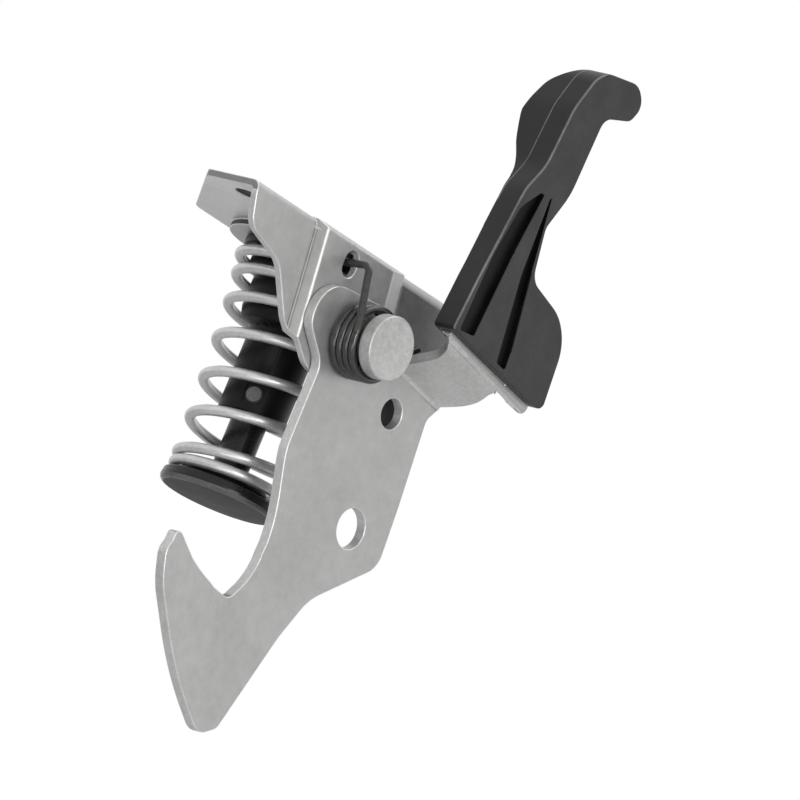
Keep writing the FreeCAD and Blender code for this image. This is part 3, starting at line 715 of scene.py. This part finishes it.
def makeCoilRule():
    rule = Rule("coilRule", {
        "turns": "Float", "steps": "Int", "start": "Float", "wire": "Float",
        "startRadius": "Float", "endRadius": "Float", "high": "Float", "low": "Float",
        "closed": "Float", "opened": "Float", "finish": "Material"})

    def eased(value, ends):
        return rule.node("ShaderNodeMapRange", {"interpolation_type": "SMOOTHSTEP"},
                         {"Value": value, "From Min": ends[0], "From Max": ends[1]})

    def between(first, last, share):
        return rule.given(first) + (rule.given(last) - rule.given(first)) * share

    turns, count = rule.given("turns"), rule.given("turns") * rule.given("steps")
    line = rule.node("GeometryNodeMeshLine", {}, {"Count": count + 1.0})
    index = rule.node("GeometryNodeInputIndex")
    share = index / count
    here = (share + 0.5 / count) * turns
    opening, closing = eased(here, coilEnds["opening"]), eased(turns - here, coilEnds["closing"])
    opened = rule.given("opened") * opening * closing
    pitch = (rule.given("closed") + opened) * (index < count - 0.5)
    fallen = rule.node("GeometryNodeAccumulateField", {}, {"Value": pitch}, out="Trailing")
    whole = rule.node("GeometryNodeAccumulateField", {}, {"Value": pitch}, out="Total")
    angle = rule.given("start") - share * turns * turn
    radius = between("startRadius", "endRadius", 1.0 - (1.0 - share) ** coilEnds["taper"])
    place = rule.node("ShaderNodeCombineXYZ", {}, {
        "X": radius * angle.maths("COSINE"), "Y": radius * angle.maths("SINE"),
        "Z": between("high", "low", fallen / whole)})
    laid = rule.node("GeometryNodeSetPosition", {}, {"Geometry": line, "Position": place})
    rule.wire(rule.node("GeometryNodeMeshToCurve", {}, {"Mesh": laid}), rule.given("wire"))
    return rule


def makeLegRule():
    rule = Rule("legRule", {
        "bend": "Float", "bendSteps": "Int", "wire": "Float", "finish": "Material"})
    curve = rule.node("GeometryNodeMeshToCurve", {}, {"Mesh": rule.given("Geometry")})
    bent = rule.node("GeometryNodeFilletCurve", {"mode": "POLY"}, {
        "Curve": curve, "Count": rule.given("bendSteps"), "Radius": rule.given("bend"),
        "Limit Radius": True})
    rule.wire(bent, rule.given("wire"))
    return rule


coilRule, legRule = makeCoilRule(), makeLegRule()


liftSpring = {
    "turns": 7.55, "steps": 64, "start": math.radians(256), "wire": 1.4 * mm,
    "startRadius": 18.6 * mm, "endRadius": 13.7 * mm, "high": -7.5 * mm, "low": -64.6 * mm,
    "closed": 2.8, "opened": 7.6, "axisY": 14.0 * mm,
}


def makeLiftSpring():
    spring = coilRule.run("lift_spring_wire", {**liftSpring, "finish": finishes["liftWire"]})
    spring.data.transform(Matrix.Translation((0, liftSpring["axisY"], 0)))
    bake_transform(spring, "bracket", "lifter", start=(0, 0, liftSpring["high"]),
             end=(0, 0, liftSpring["low"]))
    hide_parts("lift_spring")


returnSpring = {
    "turns": 3.361, "steps": 48, "pitch": 2.05 * mm, "radius": 8.9 * mm, "wire": 1.0 * mm,
    "rear": 17.45 * mm, "rearLeg": 20.6 * mm, "frontLeg": 16.6 * mm, "slotY": -7.5 * mm,
    # the legs' bends, and how many millimetres a leg laps into the coil and starts out straight
    "bend": 2.5 * mm, "bendSteps": 10, "lap": 0.3, "straight": 0.8,
    # the front leg leans back as it rises, and its end dips into the slot
    "lean": 4.3 * mm, "dip": 1.0 * mm,
}


def makeLeg(name, points, body):
    mesh = bpy.data.meshes.new(name)
    mesh.from_pydata(points, [(index, index + 1) for index in range(len(points) - 1)], [])
    leg = legRule.run(name, {**returnSpring, "finish": finishes["returnWire"]}, mesh)
    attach(leg, body)


def makeReturnSpring():
    turns, radius, wire = (returnSpring[key] for key in ("turns", "radius", "wire"))
    rear, span = returnSpring["rear"], turns * returnSpring["pitch"]
    coil = coilRule.run("return_spring_coil", {
        **returnSpring, "start": math.pi + turn * turns, "startRadius": radius,
        "endRadius": radius, "high": 0.0, "low": -span, "closed": 1.0, "opened": 0.0,
        "finish": finishes["returnWire"]})
    # the coil's own axis is laid along -Y
    coil.data.transform(Matrix.Translation((pivot.x, -rear, pivot.z)) @ Matrix((
        (1, 0, 0, 0), (0, 0, 1, 0), (0, 1, 0, 0), (0, 0, 0, 1))))
    coil.data.flip_normals()
    front = -rear - span
    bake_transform(coil, "bracket", "hook", start=(0, front + wire, 0), end=(0, -rear - wire, 0))
    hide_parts("return_spring")

    def onCoil(share):
        angle = math.pi + turn * turns * (1 - share)
        return pivot + Vector((radius * math.cos(angle), -rear - span * share,
                               radius * math.sin(angle)))

    def coilEnd(share, inwards):
        # a leg's overlap into the coil, its straight start, and the way that it leaves
        way = onCoil(share) - onCoil(share + inwards)
        way.normalize()
        lap = onCoil(share) - way * returnSpring["lap"] * mm
        return lap, onCoil(share) + way * returnSpring["straight"] * mm, way

    small = 0.002
    lap, knee, way = coilEnd(0.0, small)
    end = knee + Vector((way.x, 0, way.z)) * returnSpring["rearLeg"]
    makeLeg("return_spring_rear_leg", [lap, knee, end], "hook")
    lap, knee, way = coilEnd(1.0, -small)
    rise = returnSpring["frontLeg"]
    corner = knee + Vector((0, returnSpring["lean"], rise))
    end = knee + Vector((0, returnSpring["slotY"] - onCoil(1.0).y, rise - returnSpring["dip"]))
    makeLeg("return_spring_front_leg", [lap, knee, corner, end], "bracket")


makeLiftSpring()
makeReturnSpring()
print("springs wound")


# floor, sky and lamps
studio = {
    "floor": -0.42, "floorRadius": 2.5, "floorGrey": 236, "floorRough": 0.9, "sky": 0.5,
    "lamps": {
        "frontLow": {"place": (-0.6, -1.4, -0.2), "aim": (0, 0, -0.05), "size": 0.8, "power": 10.0},
        "below": {"place": (-0.45, -0.3, -0.4), "aim": (0, 0, 0), "size": 0.35, "power": 0.8},
        "overhead": {"place": (0.3, -0.3, 1.3), "aim": (0, 0, 0), "size": 1.2, "power": 7.0},
    },
}


def areaLight(name, values):
    data = bpy.data.lights.new(name, "AREA")
    data.shape, data.size, data.energy = "DISK", values["size"], values["power"]
    lamp = bpy.data.objects.new(name, data)
    bpy.context.scene.collection.objects.link(lamp)
    lamp.location = values["place"]
    lamp.rotation_mode = "QUATERNION"
    ahead = Vector(values["aim"]) - Vector(values["place"])
    lamp.rotation_quaternion = ahead.to_track_quat("-Z", "Y")


class Sky(Graph):
    def __init__(self):
        world = bpy.data.worlds.new("studio")
        world.use_nodes = True
        bpy.context.scene.world = world
        self.tree = world.node_tree
        self.tree.nodes.clear()
        # the camera, metal and glass see plain white
        camera, glossy, through = (
            self.node("ShaderNodeLightPath", out=ray)
            for ray in ("Is Camera Ray", "Is Glossy Ray", "Is Transmission Ray"))
        seen = camera.maths("MAXIMUM", glossy).maths("MAXIMUM", through)
        strength = studio["sky"] + seen * (1.0 - studio["sky"])
        sky = self.node("ShaderNodeBackground", {},
                        {"Color": (1, 1, 1, 1), "Strength": strength})
        self.node("ShaderNodeOutputWorld", {}, {"Surface": sky})


def makeFloor():
    bpy.ops.mesh.primitive_circle_add(vertices=96, radius=studio["floorRadius"],
                                      fill_type="NGON", location=(0, 0, studio["floor"]))
    floor = bpy.context.active_object
    floor.name = "floor"
    # pale from above and not there from below, where the camera looks up
    paint = Paint("paleFloor")
    pale = paint.shader(Base_Color=grey(studio["floorGrey"]), Roughness=studio["floorRough"])
    shader = paint.node("ShaderNodeMixShader", {}, {
        0: paint.node("ShaderNodeNewGeometry", out="Backfacing"), 1: pale,
        2: paint.node("ShaderNodeBsdfTransparent")})
    paint.node("ShaderNodeOutputMaterial", {}, {"Surface": shader})
    floor.data.materials.append(paint.material)


makeFloor()
for lampName, lampValues in studio["lamps"].items():
    areaLight(lampName, lampValues)
Sky()
print("studio made")
